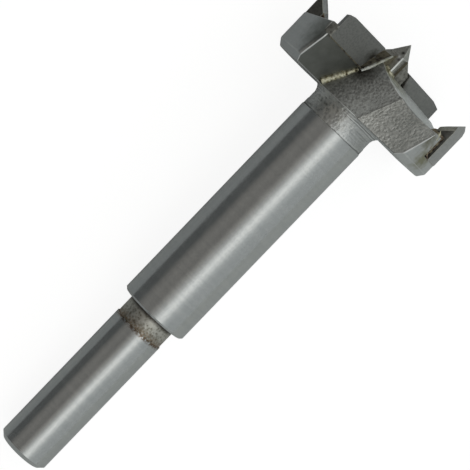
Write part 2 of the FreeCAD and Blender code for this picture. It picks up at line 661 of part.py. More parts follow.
faults = [thing.Name for thing in doc.Objects if {"Invalid", "Error"} & set(thing.State)]
faults += [piece.Label for piece in pieces if piece.Shape.isNull() or not piece.Shape.isValid()]
if faults:
    raise RuntimeError("not built: " + ", ".join(faults))

os.makedirs("parts", exist_ok=True)
for piece in pieces:
    piece.Shape.exportStep(f"parts/{piece.Label}.step")
    print(piece.Label, "solids", len(piece.Shape.Solids), "volume", round(piece.Shape.Volume, 2))
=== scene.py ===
# %% [markdown]
# # A carbide-tipped forstner bit
# The real tool is one stiff piece: a ground shank, a thicker ground body, and a forged head with two
# wings, brazed carbide blades, two spurs on the rim and a small pyramid on the axis.
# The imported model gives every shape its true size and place, in metres.
# This script loads that model, gives its edges and surfaces the finish of the real ones, and lights it.

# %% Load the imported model
import json
import math
import bmesh
import bpy
from mathutils import Matrix, Vector
from mathutils.bvhtree import BVHTree

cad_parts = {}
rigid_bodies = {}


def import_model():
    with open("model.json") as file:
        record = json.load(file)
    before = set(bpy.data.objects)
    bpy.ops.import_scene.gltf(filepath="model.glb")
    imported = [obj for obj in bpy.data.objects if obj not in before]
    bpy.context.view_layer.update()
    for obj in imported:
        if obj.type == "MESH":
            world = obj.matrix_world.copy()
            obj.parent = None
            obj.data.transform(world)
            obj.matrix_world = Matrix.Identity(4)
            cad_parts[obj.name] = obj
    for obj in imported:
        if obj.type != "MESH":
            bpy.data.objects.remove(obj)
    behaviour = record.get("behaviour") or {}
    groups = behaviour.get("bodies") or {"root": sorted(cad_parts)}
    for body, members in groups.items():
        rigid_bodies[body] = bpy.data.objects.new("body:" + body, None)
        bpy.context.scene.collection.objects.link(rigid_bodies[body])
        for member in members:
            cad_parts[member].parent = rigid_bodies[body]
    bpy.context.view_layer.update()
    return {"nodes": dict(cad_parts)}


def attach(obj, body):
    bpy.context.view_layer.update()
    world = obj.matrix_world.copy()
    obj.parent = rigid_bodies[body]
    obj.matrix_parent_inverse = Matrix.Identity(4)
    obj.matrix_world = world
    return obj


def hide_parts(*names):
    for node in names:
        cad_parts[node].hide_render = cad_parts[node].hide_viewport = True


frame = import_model()
MM = 0.001
print("pieces in the frame:", len(frame["nodes"]))

# %% [markdown]
# A tool is drawn on its own axis, but this one lies on a table, tilted by its wide head. Most finishes
# follow the axis: turning marks run round it and the ground parts end at known heights. So one small
# matrix takes a point of the scene to the tool's own place: along the axis, from the shank end, and
# across it, with the first cutting edge on X. Every piece could be turned upright to work on it, but
# the finished pieces have to lie where the model has them, and a matrix leaves them there.

# %% The tool's own place
SHANK_END = Vector((-0.049092143, 0.0, 0.004906725))
BLADE_LINE = Vector((-0.070701561, 0.631816414, 0.771886849))
CUTTING_WAY = Vector((-0.057630455, -0.775118068, 0.629182574))
TOOL_AXIS = Vector((0.995831321, 0.0, 0.091213925))
TO_TOOL = Matrix((BLADE_LINE, CUTTING_WAY, TOOL_AXIS))
FROM_TOOL = TO_TOOL.transposed()


def tool_place(point):
    """Place of a point on the tool, in millimetres: along the blade line, across it, up the axis."""
    return TO_TOOL @ (Vector(point) - SHANK_END) / MM


def scene_place(x, y, height):
    """Place in the scene, in metres, of a point given in millimetres on the tool."""
    return SHANK_END + FROM_TOOL @ Vector((x, y, height)) * MM


point_heights = [tool_place(vertex.co).z for vertex in frame["nodes"]["centre_point"].data.vertices]
print("point of the tool, mm above the shank end:", round(max(point_heights), 2))

# %% [markdown]
# The wings are alike, and the second is the first turned half round the axis. Heights on the tool end
# the ground parts and the forged ones. They are measured from the shank end, apart from those that are
# said to be above the back face of the head. Typing each height where it is needed would work too, but
# one list keeps all the cells in step.

# %% Heights on the tool
SHANK_TOP = 30.2
SHOULDER = 33.9
BODY_END = 78.8
HEAD_FROM = 82.6
BACK_FACE = 83.05
SEAT_FLOOR = 89.87
POINT_SHOULDER = 96.2
BOTH_WINGS = ((1, 1), (2, -1))
print("neck band:", round(SHOULDER - SHANK_TOP, 2), "mm, ground body:", round(BODY_END - SHOULDER, 2), "mm")

# %% [markdown]
# Nodes are the words of a material. These helpers add one node, join two sockets and work out a sum, so
# that each finish below reads as a short list of steps. Wiring nodes by hand in the editor gives the
# same result, but a script can be read and run again.

# %% Helpers for nodes


def add(tree, kind, inputs=None, **settings):
    """Node of a kind, with its settings and its input values."""
    node = tree.nodes.new(kind)
    for name, value in settings.items():
        setattr(node, name, value)
    for name, value in (inputs or {}).items():
        node.inputs[name].default_value = value
    return node


def join(tree, source, target):
    """Link from an output socket to an input socket."""
    tree.links.new(source, target)


def math_node(tree, operation, first, second=None, clamp=False):
    """Result of one operation on two sockets or numbers, as an output socket."""
    node = add(tree, "ShaderNodeMath", operation=operation, use_clamp=clamp)
    for slot, value in zip(node.inputs, (first, second)):
        if isinstance(value, bpy.types.NodeSocket):
            join(tree, value, slot)
        elif value is not None:
            slot.default_value = value
    return node.outputs[0]


# %% [markdown]
# An effect that several finishes share is a node group: it is built once, has named inputs and outputs,
# and gets its own values wherever it is placed. A keyword can't hold a space, so an underscore stands
# for it. Copying the nodes into each material would do as well, but a change would then have to be made
# in every copy.

# %% Helpers for node groups
FLOAT = "NodeSocketFloat"
VECTOR = "NodeSocketVector"


def new_group(name, inputs, outputs):
    """Shader node group with named inputs, each with its value, and named outputs."""
    group = bpy.data.node_groups.new(name, "ShaderNodeTree")
    for label, (kind, value) in inputs.items():
        group.interface.new_socket(label, in_out="INPUT", socket_type=kind).default_value = value
    for label, kind in outputs.items():
        group.interface.new_socket(label, in_out="OUTPUT", socket_type=kind)
    print("group:", name, "with outputs", list(outputs))
    return group, add(group, "NodeGroupInput"), add(group, "NodeGroupOutput")


def use_group(tree, group, **values):
    """A group placed in a material, with its own values."""
    node = add(tree, "ShaderNodeGroup", node_tree=group)
    for name, value in values.items():
        node.inputs[name.replace("_", " ")].default_value = value
    return node


# %% [markdown]
# The first group gives a material the tool's own place from its Object coordinates. A Mapping node
# scales metres to millimetres, turns them onto the tool axis and moves the zero to the shank end. A
# picture laid over the surface would need unwrapping first, and this needs nothing but the place
# itself.

# %% Group: place on the tool
place_group, _, place_out = new_group("place_on_tool", {}, {"Place": VECTOR, "Along": FLOAT})
object_place = add(place_group, "ShaderNodeTexCoord")
onto_tool = add(place_group, "ShaderNodeMapping", vector_type="POINT")
onto_tool.inputs["Scale"].default_value = (1 / MM, 1 / MM, 1 / MM)
onto_tool.inputs["Rotation"].default_value = TO_TOOL.to_euler("XYZ")
onto_tool.inputs["Location"].default_value = TO_TOOL @ SHANK_END / -MM
join(place_group, object_place.outputs["Object"], onto_tool.inputs["Vector"])
axes = add(place_group, "ShaderNodeSeparateXYZ")
join(place_group, onto_tool.outputs["Vector"], axes.inputs[0])
join(place_group, onto_tool.outputs["Vector"], place_out.inputs["Place"])
join(place_group, axes.outputs["Z"], place_out.inputs["Along"])

# %% [markdown]
# Cylindrical grinding leaves fine rings round a shank. They are lines of chance depth that depend only
# on the place along the axis, so one-dimensional noise of that place makes them at any scale. Real
# grooves in the mesh would need millions of faces for the same look.

# %% Group: grinding rings
rings_group, rings_in, rings_out = new_group(
    "grinding_rings", {"Rings per mm": (FLOAT, 9.0)}, {"Height": FLOAT, "Shade": FLOAT})
where = use_group(rings_group, place_group)
ring_count = math_node(rings_group, "MULTIPLY", where.outputs["Along"], rings_in.outputs["Rings per mm"])
for scale, detail, label in ((1.0, 2.0, "Height"), (0.13, 3.0, "Shade")):
    rings = add(rings_group, "ShaderNodeTexNoise", noise_dimensions="1D",
                inputs={"Scale": scale, "Detail": detail})
    join(rings_group, ring_count, rings.inputs["W"])
    join(rings_group, rings.outputs[0], rings_out.inputs[label])

# %% [markdown]
# Forged and blasted steel has a skin of small grains and shallow pits. Noise and a pattern of round
# cells, added together, give its height, and a slower noise gives its light and dark patches. Such a
# skin could be sculpted, but its grains are finer than the faces of the mesh, so the shader makes them.

# %% Group: raw skin
skin_group, skin_in, skin_out = new_group(
    "raw_skin", {"Grains per mm": (FLOAT, 2.6)}, {"Height": FLOAT, "Patches": FLOAT})
where = use_group(skin_group, place_group)
grains = add(skin_group, "ShaderNodeTexNoise", inputs={"Detail": 4.0, "Roughness": 0.62})
join(skin_group, skin_in.outputs["Grains per mm"], grains.inputs["Scale"])
pits = add(skin_group, "ShaderNodeTexVoronoi", feature="SMOOTH_F1", inputs={"Smoothness": 0.6})
pit_count = math_node(skin_group, "MULTIPLY", skin_in.outputs["Grains per mm"], 0.8)
join(skin_group, pit_count, pits.inputs["Scale"])
patches = add(skin_group, "ShaderNodeTexNoise", inputs={"Scale": 0.35, "Detail": 3.0})
for texture in (grains, pits, patches):
    join(skin_group, where.outputs["Place"], texture.inputs["Vector"])
pit_height = math_node(skin_group, "MULTIPLY", pits.outputs["Distance"], 0.7)
join(skin_group, math_node(skin_group, "ADD", grains.outputs[0], pit_height), skin_out.inputs["Height"])
join(skin_group, patches.outputs[0], skin_out.inputs["Patches"])

# %% [markdown]
# Torch heat and flux leave brown and olive stains near each brazed joint. A stain is a soft ball round a
# place on the tool, broken up by noise. The same ball also lays painted shade beside the seats and a
# painted highlight on the point. Both joints of a pair are served at once, because the second is the first
# turned half round the axis, which only changes the sign of X and Y. Painting them would need a picture,
# and a ball needs only a centre, a size and a raggedness.

# %% Group: stain, painted shade and painted highlight
stain_and_light_group, ball_in, ball_out = new_group(
    "heat_stain",
    {"Centre": (VECTOR, (0.0, 0.0, 0.0)), "Size": (FLOAT, 2.0), "Ragged": (FLOAT, 0.5)},
    {"Mask": FLOAT})
where = use_group(stain_and_light_group, place_group)
distances = []
for _, side in BOTH_WINGS:
    side_place = add(stain_and_light_group, "ShaderNodeVectorMath", operation="MULTIPLY")
    side_place.inputs[1].default_value = (side, side, 1)
    join(stain_and_light_group, where.outputs["Place"], side_place.inputs[0])
    distance = add(stain_and_light_group, "ShaderNodeVectorMath", operation="DISTANCE")
    join(stain_and_light_group, side_place.outputs[0], distance.inputs[0])
    join(stain_and_light_group, ball_in.outputs["Centre"], distance.inputs[1])
    distances.append(distance.outputs["Value"])
nearest = math_node(stain_and_light_group, "MINIMUM", *distances)
broken = add(stain_and_light_group, "ShaderNodeTexNoise", inputs={"Scale": 1.1, "Detail": 4.0})
join(stain_and_light_group, where.outputs["Place"], broken.inputs["Vector"])
above_middle = math_node(stain_and_light_group, "SUBTRACT", broken.outputs[0], 0.5)
ragged = math_node(stain_and_light_group, "MULTIPLY", above_middle, ball_in.outputs["Ragged"])
in_sizes = math_node(stain_and_light_group, "DIVIDE", nearest, ball_in.outputs["Size"])
spread = math_node(stain_and_light_group, "ADD", in_sizes, ragged)
join(stain_and_light_group, math_node(stain_and_light_group, "SUBTRACT", 1.25, spread, clamp=True), ball_out.inputs["Mask"])

# %% [markdown]
# Each finish is one material with one Principled BSDF. Numbers that are the same all over the surface
# stay on the shader's own sockets, and only what changes gets nodes. A Bump node turns a height into a
# shaded grain that is too fine to model. Finer relief could be modelled too, but nobody would see it in
# the outline of the tool.

# %% Helpers for materials


def new_material(name, color, metallic, roughness, specular=0.5):
    """Material with one Principled BSDF, its node tree and that shader."""
    material = bpy.data.materials.new(name)
    material.use_nodes = True
    shader = material.node_tree.nodes["Principled BSDF"]
    shader.inputs["Base Color"].default_value = (*color, 1)
    shader.inputs["Metallic"].default_value = metallic
    shader.inputs["Roughness"].default_value = roughness
    shader.inputs["Specular IOR Level"].default_value = specular
    print("finish:", name)
    return material, material.node_tree, shader


def bump(tree, shader, height, depth_mm, strength):
    """Bump of a depth in millimetres, into the shader's normal."""
    node = add(tree, "ShaderNodeBump", inputs={"Strength": strength, "Distance": depth_mm * MM})
    join(tree, height, node.inputs["Height"])
    join(tree, node.outputs["Normal"], shader.inputs["Normal"])


# %% [markdown]
# Colours change in three ways: along a ramp of stops, from one colour to another where a mask is high,
# and in raised skins with both, where grains and patches add up to a mottle. A Mix node has sockets for
# every kind of value, so the numbers of its colour sockets are named here.

# %% Helpers for colours
MIX_SHARE, MIX_UNDER, MIX_OVER, MIX_RESULT = 0, 6, 7, 2


def ramp(tree, source, stops):
    """Colour ramp over a value, from pairs of place and colour."""
    node = add(tree, "ShaderNodeValToRGB")
    while len(node.color_ramp.elements) < len(stops):
        node.color_ramp.elements.new(0.5)
    for element, (place, color) in zip(node.color_ramp.elements, stops):
        element.position = place
        element.color = (*color, 1)
    join(tree, source, node.inputs["Fac"])
    return node.outputs["Color"]


def blend_color(tree, mask, under, over, mode="MIX"):
    """Colour over another where the mask is high."""
    node = add(tree, "ShaderNodeMix", data_type="RGBA", blend_type=mode)
    join(tree, mask, node.inputs[MIX_SHARE])
    for value, number in ((under, MIX_UNDER), (over, MIX_OVER)):
        if isinstance(value, bpy.types.NodeSocket):
            join(tree, value, node.inputs[number])
        else:
            node.inputs[number].default_value = (*value, 1)
    return node.outputs[MIX_RESULT]


def to_range(tree, source, low, high, from_low=0.0, from_high=1.0):
    """Value moved from one range to another."""
    node = add(tree, "ShaderNodeMapRange", inputs={"From Min": from_low, "From Max": from_high,
                                                   "To Min": low, "To Max": high})
    join(tree, source, node.inputs["Value"])
    return node.outputs["Result"]


def stain_shade_and_light(tree, color, ball_marks):
    """Colour with stains, painted shade and painted highlights over it, each given as centre, size,
    raggedness and its own colour.
    """
    for centre, size, ragged, ball_color in ball_marks:
        ball = use_group(tree, stain_and_light_group, Centre=centre, Size=size, Ragged=ragged)
        color = blend_color(tree, ball.outputs["Mask"], color, ball_color)
    return color


def mottled(tree, skin, stops):
    """Colour that wanders over a raw skin between the given ones."""
    sum_of_both = math_node(tree, "ADD", skin.outputs["Patches"], skin.outputs["Height"])
    return ramp(tree, math_node(tree, "MULTIPLY", sum_of_both, 0.6), stops)


# %% [markdown]
# Ground steel covers the shank, the body and the rim. It mirrors the room softly, so its colour
# barely changes and its roughness and rings do the work. One helper makes it for all three, with its
# roughness as the only thing to choose.

# %% Ground steel


def ground_finish(name, smooth, rough):
    """Ground steel between two roughnesses, and its base colour before any stain."""
    material, tree, shader = new_material(name, (0.6, 0.6, 0.6), 1.0, smooth)
    rings = use_group(tree, rings_group, Rings_per_mm=7.0)
    skin = use_group(tree, skin_group, Grains_per_mm=1.4)
    smudge = math_node(tree, "MULTIPLY", rings.outputs["Shade"], skin.outputs["Patches"])
    clean = ramp(tree, smudge, ((0.1, (0.595, 0.61, 0.605)), (0.4, (0.65, 0.66, 0.65))))
    grain = use_group(tree, skin_group, Grains_per_mm=3.5)
    dust = to_range(tree, grain.outputs["Height"], 0.16, 0.0, 0.45, 0.95)
    clean = blend_color(tree, dust, clean, (0.3, 0.31, 0.31))
    join(tree, to_range(tree, skin.outputs["Patches"], smooth, rough, 0.3, 0.7), shader.inputs["Roughness"])
    bump(tree, shader, rings.outputs["Height"], 0.004, 0.35)
    return material, tree, shader, clean


ground_steel, tree, shader, clean = ground_finish("ground_steel", 0.15, 0.24)

# %% [markdown]
# Rust from the raw neck band creeps a little over the ground shank. A mask that rises over the last
# half millimetre of the shank, broken by grains, lets it end in specks and not in a line. A ring of its
# own material would end too sharply.

# %% Rust on the top of the shank
RUST_FROM = 29.5
where = use_group(tree, place_group)
specks = use_group(tree, skin_group, Grains_per_mm=3.2)
rising = to_range(tree, where.outputs["Along"], 0.0, 1.0, RUST_FROM, SHANK_TOP)
falling = to_range(tree, where.outputs["Along"], 1.0, 0.0, SHANK_TOP + 0.1, SHANK_TOP + 0.2)
shank_edge = math_node(tree, "MULTIPLY", rising, falling)
grainy = to_range(tree, specks.outputs["Height"], 0.0, 1.7, 0.68, 0.95)
spilt = math_node(tree, "MULTIPLY", shank_edge, grainy, clamp=True)
join(tree, blend_color(tree, spilt, clean, (0.2, 0.15, 0.11)), shader.inputs["Base Color"])
print("rust ends", round(SHANK_TOP - RUST_FROM, 2), "mm below the top of the shank")

# %% [markdown]
# The rim of the wings is ground with the same wheel, but it rubs in every bore, so it is duller. Stains
# sit beside the spur slot, at the outer end of the blade seat, and where braze ran down from the slot.
# The same helper makes it, so both grounds match, and the stains are added on top.

# %% Rim of the wings
RIM_STAINS = (((0.0, 17.3, 88.8), 1.9, 1.6, (0.3, 0.295, 0.24)),
              ((17.3, -1.2, 89.3), 4.3, 0.8, (0.26, 0.27, 0.25)),
              ((-3.0, 17.1, 85.8), 2.3, 1.6, (0.33, 0.325, 0.23)))
rim_steel, tree, shader, clean = ground_finish("rim_steel", 0.32, 0.42)
join(tree, stain_shade_and_light(tree, clean, RIM_STAINS), shader.inputs["Base Color"])

# %% [markdown]
# The relief behind each blade is ground too, by a coarser wheel, and chips have rubbed it since. It is
# duller and paler than the shank, and olive with flux round the point. Grinding lines would run along
# the wing here, but they are too fine to see, so grains do.

# %% Relieved wing top
FLUX_STAIN = (((0.0, 0.0, 93.2), 5.4, 1.6, (0.3, 0.29, 0.17)),)
relieved_top, tree, shader = new_material("relieved_top", (0.75, 0.76, 0.75), 0.65, 0.48)
skin = use_group(tree, skin_group, Grains_per_mm=1.8)
rubbed = blend_color(tree, skin.outputs["Patches"], (0.75, 0.78, 0.77), (0.98, 1.0, 0.99))
join(tree, stain_shade_and_light(tree, rubbed, FLUX_STAIN), shader.inputs["Base Color"])
bump(tree, shader, skin.outputs["Height"], 0.02, 0.6)

# %% [markdown]
# The hub and the heel faces keep their blasted forging skin. It scatters light, so it looks paler and
# flatter than ground steel, with dark pits. The hub is given darker colours as painted shade and the heel
# paler ones as painted light, and a near-black ball beside the seat adds painted shade to both. One helper
# makes both, since only the colours, the grain and the depth differ.

# %% Forging skins
# Painted shade: a near-black ball beside the seat, where the hub lies in shade.
SEAT_SIDE_SHADE = (((4.4, 0.2, 89.5), 2.6, 0.9, (0.055, 0.05, 0.04)),)


def forging_skin(name, dark, light, grains_per_mm, depth_mm):
    """Blasted skin between two colours, with grains of a size and a depth."""
    material, tree, shader = new_material(name, light, 0.85, 0.5)
    skin = use_group(tree, skin_group, Grains_per_mm=grains_per_mm)
    pitted = to_range(tree, skin.outputs["Height"], 0.25, 0.85, 0.4, 1.1)
    patchy = math_node(tree, "MULTIPLY", pitted, math_node(tree, "ADD", skin.outputs["Patches"], 0.5))
    color = blend_color(tree, patchy, dark, light)
    join(tree, stain_shade_and_light(tree, color, SEAT_SIDE_SHADE), shader.inputs["Base Color"])
    join(tree, to_range(tree, skin.outputs["Height"], 0.34, 0.56, 0.5, 1.0), shader.inputs["Roughness"])
    bump(tree, shader, skin.outputs["Height"], depth_mm, 0.95)
    return material


# One skin in a shaded and a lit copy: the hub's darker colours are painted shade, the heel's paler ones
# painted light.
hub_skin = forging_skin("hub_skin", (0.12, 0.12, 0.115), (0.46, 0.465, 0.445), 2.6, 0.15)
heel_skin = forging_skin("heel_skin", (0.52, 0.53, 0.49), (1.0, 1.0, 0.96), 2.3, 0.24)

# %% [markdown]
# The wall of the gullet under each blade is milled and then scorched, so it is a dark, nearly even
# grey. Two close colours over slow patches are enough, with a shallow grain. More detail would be lost
# in the shade.

# %% Gullet wall
gullet_wall, tree, shader = new_material("gullet_wall", (0.12, 0.12, 0.11), 0.85, 0.42)
skin = use_group(tree, skin_group, Grains_per_mm=1.6)
scorched = blend_color(tree, skin.outputs["Patches"], (0.11, 0.115, 0.1), (0.26, 0.265, 0.25))
join(tree, scorched, shader.inputs["Base Color"])
bump(tree, shader, skin.outputs["Height"], 0.04, 0.7)

# %% [markdown]
# The collar was turned once and then left rough. Turned lines end it at both sides, and on the side of
# the hub the forging runs down over them. The lines are a ramp along the axis, made wavy by the skin,
# and a mask takes them away where the forging is. Grooves cut in the solid would be the other way, but
# they are only a few hundredths of a millimetre deep.

# %% Collar and back face
LINES_FROM, LINES_TO = 79.0, 83.4
COLLAR_LINES = ((0.0, 1), (0.03, 0.3), (0.06, 1), (0.1, 1.25), (0.14, 1), (0.76, 1), (0.79, 0.4),
                (0.81, 1.3), (0.84, 1), (0.88, 0.35), (0.91, 1.2), (0.94, 0.8), (1.0, 1))
collar_skin, tree, shader = new_material("collar_skin", (0.42, 0.42, 0.41), 1.0, 0.3)
where = use_group(tree, place_group)
skin = use_group(tree, skin_group, Grains_per_mm=2.0)
rings = use_group(tree, rings_group, Rings_per_mm=2.4)
forged = use_group(tree, stain_and_light_group, Centre=(6.4, 1.2, 82.4), Size=4.6, Ragged=1.6)
turned_color = blend_color(tree, skin.outputs["Patches"], (0.4, 0.41, 0.4), (0.82, 0.83, 0.82))
grain = to_range(tree, skin.outputs["Height"], 0.0, 1.0, 0.45, 0.85)
forged_color = blend_color(tree, grain, (0.2, 0.2, 0.185), (0.62, 0.62, 0.58))
color = blend_color(tree, forged.outputs["Mask"], turned_color, forged_color)
waviness = math_node(tree, "MULTIPLY", skin.outputs["Patches"], 0.5)
wavy = math_node(tree, "ADD", where.outputs["Along"], waviness)
line_place = to_range(tree, wavy, 0.0, 1.0, LINES_FROM, LINES_TO)
lines = ramp(tree, line_place, [(place, (share, share, share)) for place, share in COLLAR_LINES])
turned_part = to_range(tree, forged.outputs["Mask"], 1.0, 0.0, 0.1, 0.7)
join(tree, blend_color(tree, turned_part, color, lines, "MULTIPLY"), shader.inputs["Base Color"])
bump(tree, shader, math_node(tree, "ADD", skin.outputs["Height"], rings.outputs["Height"]), 0.1, 0.9)

# %% [markdown]
# The neck band was never ground. It keeps a mottled brown skin, with rust and soot at its lower end. Under
# the shoulder a dark ring is painted shadow, the shade the body casts on the neck. Masks at its two ends
# lay the rust, the soot and the painted shadow over the skin, because each has its own reach.

# %% Neck band
RUST_TO = 31.7
SHADOW_FROM, SHADOW_TO = 32.95, 33.6
neck_skin, tree, shader = new_material("neck_skin", (0.3, 0.27, 0.22), 0.92, 0.42)
where = use_group(tree, place_group)
skin = use_group(tree, skin_group, Grains_per_mm=2.6)
color = mottled(tree, skin, ((0.56, (0.17, 0.155, 0.125)), (0.7, (0.35, 0.335, 0.285)),
                             (0.88, (0.62, 0.605, 0.55))))
low_end = to_range(tree, where.outputs["Along"], 1.0, 0.0, SHANK_TOP, RUST_TO)
specks = use_group(tree, skin_group, Grains_per_mm=4.5)
for low, high, from_low, from_high, speck_color in ((0.0, 1.0, 0.72, 0.92, (0.3, 0.215, 0.14)),
                                                    (0.85, 0.0, 0.55, 0.72, (0.07, 0.06, 0.05))):
    chosen = to_range(tree, specks.outputs["Height"], low, high, from_low, from_high)
    color = blend_color(tree, math_node(tree, "MULTIPLY", low_end, chosen, clamp=True), color, speck_color)
# Painted shadow: a dark ring under the shoulder, where the body shades the neck.
shoulder_shadow = to_range(tree, where.outputs["Along"], 0.0, 0.92, SHADOW_FROM, SHADOW_TO)
join(tree, blend_color(tree, shoulder_shadow, color, (0.05, 0.042, 0.035)), shader.inputs["Base Color"])
bump(tree, shader, skin.outputs["Height"], 0.06, 0.8)

# %% [markdown]
# Handling rubs the edges of the head bright. The narrow faces that break those edges get this finish of
# bare steel, a little uneven. A mask on the steel could find the edges too, but a face of its own
# catches the light as a real one does.

# %% Worn edge
worn_edge, tree, shader = new_material("worn_edge", (0.72, 0.73, 0.72), 1.0, 0.32)
skin = use_group(tree, skin_group, Grains_per_mm=2.4)
bare = blend_color(tree, skin.outputs["Patches"], (0.5, 0.51, 0.5), (0.85, 0.86, 0.84))
join(tree, bare, shader.inputs["Base Color"])

# %% [markdown]
# The seats and the web that backs the point took the full heat of the torch, and flux baked onto them. The
# seat's colours are darker than the web's also as painted shade, for the shade in the pocket at the inner
# end of the blade. The braze beside them froze with a colour that wanders in the same way, from dark oxide
# to pale brass. One helper serves both: a mottle over the raw skin, with its own share of metal.

# %% Burnt steel and braze


def mottled_finish(name, base, metallic, roughness, stops, depth_mm, strength):
    """Skin whose colour wanders between the given ones, burnt steel as well as frozen braze."""
    material, tree, shader = new_material(name, base, metallic, roughness)
    skin = use_group(tree, skin_group, Grains_per_mm=1.8)
    join(tree, mottled(tree, skin, stops), shader.inputs["Base Color"])
    bump(tree, shader, skin.outputs["Height"], depth_mm, strength)
    return material


# Burnt colour and painted shade: the seat's darker mottle stands partly for the shade in the pocket.
seat_skin = mottled_finish("seat_skin", (0.13, 0.113, 0.083), 0.5, 0.5,
                           ((0.6, (0.055, 0.045, 0.033)), (0.72, (0.13, 0.113, 0.083)),
                            (0.84, (0.21, 0.19, 0.135))), 0.06, 0.9)
web_skin = mottled_finish("web_skin", (0.23, 0.225, 0.2), 0.5, 0.5,
                          ((0.6, (0.14, 0.13, 0.11)), (0.72, (0.23, 0.225, 0.2)),
                           (0.84, (0.34, 0.335, 0.3))), 0.06, 0.9)
braze = mottled_finish("braze", (0.64, 0.615, 0.47), 0.9, 0.4,
                       ((0.6, (0.09, 0.07, 0.04)), (0.7, (0.36, 0.33, 0.21)),
                        (0.82, (0.64, 0.615, 0.47))), 0.05, 0.8)
slot_braze = mottled_finish("slot_braze", (0.36, 0.31, 0.22), 0.9, 0.45,
                            ((0.64, (0.03, 0.017, 0.016)), (0.76, (0.12, 0.075, 0.055)),
                             (0.9, (0.36, 0.31, 0.22))), 0.05, 0.8)

# %% [markdown]
# Carbide is darker than steel and has a fine, even grain from the diamond wheel. Five finishes differ in
# their greys: rake faces, the end faces of the spurs, which are darkened as painted shade, ground faces,
# the honed band over the end of a spur, and the point, which has two burnt spots and a near-white painted
# highlight. Every piece beside the seat is darkened there as painted shade. One helper makes them all, and
# the marks are balls like the stains, only smaller.

# %% Carbide
# Painted shade: a dark ball over the inner end of each blade.
SEAT_END_SHADE = (((5.0, 0.0, 92.5), 1.6, 1.0, (0.06, 0.055, 0.045)),)
# The second mark, near white, is a painted highlight; the other two are burnt spots.
POINT_SPOTS_AND_HIGHLIGHT = (((0.9, 0.72, 96.9), 0.36, 0.6, (0.05, 0.048, 0.04)),
               ((1.24, 0.95, 96.0), 0.36, 0.6, (0.98, 1.0, 0.98)),
               ((1.0, 1.2, 95.5), 0.3, 0.6, (0.1, 0.095, 0.1)))


def carbide_finish(name, dark, light, roughness, depth_mm=0.012, metallic=0.9, marks=()):
    """Fine ground carbide between two greys, with grains of a depth, painted shade beside the seat, and
    marks such as burnt spots and a painted highlight.
    """
    material, tree, shader = new_material(name, light, metallic, roughness)
    skin = use_group(tree, skin_group, Grains_per_mm=3.0)
    color = blend_color(tree, to_range(tree, skin.outputs["Height"], 0.2, 0.8, 0.45, 1.0), dark, light)
    join(tree, stain_shade_and_light(tree, color, SEAT_END_SHADE + marks), shader.inputs["Base Color"])
    bump(tree, shader, skin.outputs["Height"], depth_mm, 0.6)
    return material


rake_carbide = carbide_finish("rake_carbide", (0.22, 0.225, 0.22), (0.34, 0.34, 0.325), 0.42)
# Painted shade: the end faces of the spurs get these dark greys.
side_carbide = carbide_finish("side_carbide", (0.07, 0.072, 0.066), (0.17, 0.17, 0.155), 0.4)
ground_carbide = carbide_finish("ground_carbide", (0.36, 0.37, 0.365), (0.55, 0.55, 0.54), 0.4)
honed_band = carbide_finish("honed_band", (0.3, 0.3, 0.26), (0.6, 0.6, 0.53), 0.5, 0.03, 0.3)
point_carbide = carbide_finish("point_carbide", (0.3, 0.3, 0.27), (0.62, 0.62, 0.58), 0.42, 0.06,
                               marks=POINT_SPOTS_AND_HIGHLIGHT)

# %% [markdown]
# A imported mesh is loose triangles, and a imported node is never changed. So a copy of each node is merged
# and its flat triangles are joined, and the finished copy stands for the node: it rides on the tool as the
# node does. Building the pieces again by hand would risk their size.

# %% Copies of the imported pieces
SAME_PLACE = 1e-7
FLAT = math.radians(0.05)


def new_piece(name, mesh):
    """Object with a mesh, at the origin, unturned and unscaled."""
    piece = bpy.data.objects.new(name, mesh)
    bpy.context.collection.objects.link(piece)
    return piece


def merged_copy(node_name, name):
    """Copy of a node with its doubles merged and its flat faces joined."""
    mesh = frame["nodes"][node_name].data.copy()
    mesh.name = name
    work = bmesh.new()
    work.from_mesh(mesh)
    bmesh.ops.remove_doubles(work, verts=work.verts, dist=SAME_PLACE)
    bmesh.ops.dissolve_limit(work, angle_limit=FLAT, verts=work.verts, edges=work.edges)
    work.to_mesh(mesh)
    work.free()
    mesh.shade_smooth()
    mesh.set_sharp_from_angle(angle=math.radians(22))
    return new_piece(name, mesh)


def ride_along(piece):
    """Let a finished piece ride on the tool."""
    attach(piece, "root")
    print(piece.name, "triangles:", sum(len(face.vertices) - 2 for face in piece.data.polygons))


def hand_over(piece, node_name):
    """Let a finished piece ride on the tool and stand for its node."""
    ride_along(piece)
    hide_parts(node_name)


steel = merged_copy("steel_body", "forged_steel_body")
print("faces of the steel after merging:", len(steel.data.polygons))

# %% [markdown]
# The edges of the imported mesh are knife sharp, and a real edge is never that: it has a tiny rounding
# that catches the light. A Bevel modifier breaks each edge by its own width, which a rule writes on the
# edge as its bevel weight. With the modifier's width at one millimetre, a weight is a width in
# millimetres. Cutting each edge in the solid would also work, but wear differs from edge to edge.

# %% Helpers for broken edges
SHARP = math.radians(24)


def mark_edges(piece, width_of):
    """Bevel weight on each sharp outer edge: the width in millimetres that the rule gives it."""
    work = bmesh.new()
    work.from_mesh(piece.data)
    weight = work.edges.layers.float.new("bevel_weight_edge")
    for edge in work.edges:
        if edge.calc_face_angle_signed(0) > SHARP:
            middle = tool_place((edge.verts[0].co + edge.verts[1].co) / 2)
            edge[weight] = width_of(middle, [TO_TOOL @ face.normal for face in edge.link_faces])
    print("edges to break on", piece.name, ":", sum(edge[weight] > 0 for edge in work.edges))
    work.to_mesh(piece.data)
    work.free()


def break_edges(piece, segments, edge_finish):
    """Bevel modifier that breaks the marked edges and gives the new faces their finish."""
    bevel = piece.modifiers.new("broken_edges", "BEVEL")
    bevel.limit_method = "WEIGHT"
    bevel.width = MM
    bevel.segments = segments
    bevel.material = piece.data.materials.find(edge_finish.name)
    return bevel


